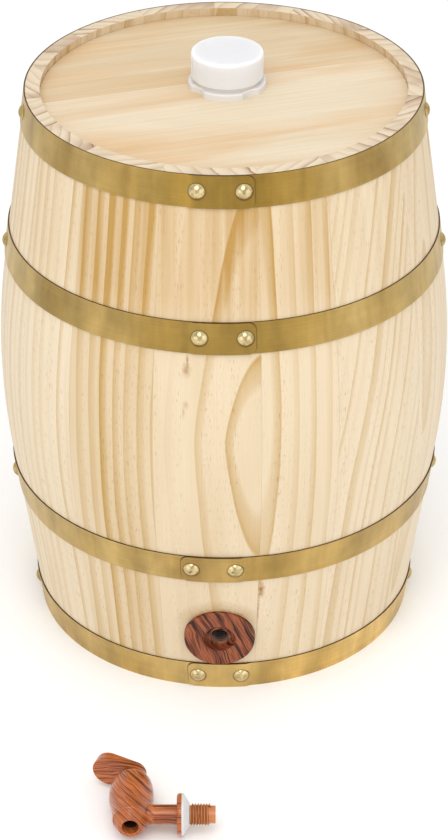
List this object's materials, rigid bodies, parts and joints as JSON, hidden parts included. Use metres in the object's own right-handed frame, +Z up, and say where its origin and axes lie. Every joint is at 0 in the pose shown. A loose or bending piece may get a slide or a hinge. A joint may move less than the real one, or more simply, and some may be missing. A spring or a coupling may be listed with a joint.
{
  "type": "wooden barrel with tap",
  "caption": "Upright wooden drinks barrel with riveted brass hoops, a screw cap on its filler neck, a threaded tap socket low on the front and a loose lever tap.",
  "frame": {"origin": "on the floor under the barrel, on the barrel's axis", "axes": "+Z up along the barrel's axis, the tap socket faces -Y, +X to the viewer's right"},
  "size_m": [0.2572, 0.3796, 0.346],
  "materials": {
    "stave_wood": "planed pale pine, satin",
    "head_wood": "planed pale pine, satin",
    "hoop_brass": "brushed",
    "rivet_brass": "polished",
    "liner_film": "silvery film",
    "neck_plastic": "moulded",
    "cap_plastic": "moulded, fine matt",
    "silicone": "white silicone",
    "dark_wood_print": "wood-grain print under gloss lacquer",
    "plug_plastic": "dark brown, moulded",
    "ring_rubber": "black",
    "screw_steel": "plain"
  },
  "bodies": {
    "barrel": {"stave_01": "stave_wood", "stave_02": "stave_wood", "stave_03": "stave_wood", "stave_04": "stave_wood", "stave_05": "stave_wood", "stave_06": "stave_wood", "stave_07": "stave_wood", "stave_08": "stave_wood", "stave_09": "stave_wood", "stave_10": "stave_wood", "stave_11": "stave_wood", "stave_12": "stave_wood", "stave_13": "stave_wood", "stave_14": "stave_wood", "stave_15": "stave_wood", "top_head_front": "head_wood", "top_head_middle": "head_wood", "top_head_back": "head_wood", "bottom_head_front": "head_wood", "bottom_head_middle": "head_wood", "bottom_head_back": "head_wood", "top_rim_hoop": "hoop_brass", "top_quarter_hoop": "hoop_brass", "bottom_quarter_hoop": "hoop_brass", "bottom_rim_hoop": "hoop_brass", "lap_rivets": "rivet_brass", "hoop_nails": "rivet_brass", "liner_bag": "liner_film", "filler_neck": "neck_plastic", "neck_nut": "neck_plastic", "tap_socket": "dark_wood_print", "socket_gasket": "silicone", "socket_nut": "neck_plastic"},
    "cap_seal": {"cap_seal": "silicone"},
    "cap": {"cap": "cap_plastic"},
    "tap": {"tap_body": "dark_wood_print", "tap_washer": "silicone", "tap_bonnet": "dark_wood_print"},
    "tap_key": {"tap_plug": "plug_plastic", "plug_rings": "ring_rubber", "tap_lever": "dark_wood_print", "lever_screw": "screw_steel"}
  },
  "joints": [
    {"name": "cap_rise", "type": "slide", "parent": "barrel", "child": "cap_seal", "axis": [0, 0, 1], "range_m": [0, 0.0061]},
    {"name": "cap_turn", "type": "hinge", "parent": "cap_seal", "child": "cap", "pos_m": [0.0018, 0.009, 0.34], "axis": [0, 0, 1], "range_deg": [0, 540]},
    {"name": "tap_lift", "type": "slide", "parent": "barrel", "child": "tap", "axis": [0, 0, 1], "range_m": [0, 0.15]},
    {"name": "tap_key_turn", "type": "hinge", "parent": "tap", "child": "tap_key", "pos_m": [-0.0501, -0.2396, 0.0121], "axis": [0, 1, 0], "range_deg": [0, 90]}
  ],
  "couplings": [
    {"joint": "cap_rise", "follows": "cap_turn", "m_per_rad": 0.00063662}
  ]
}
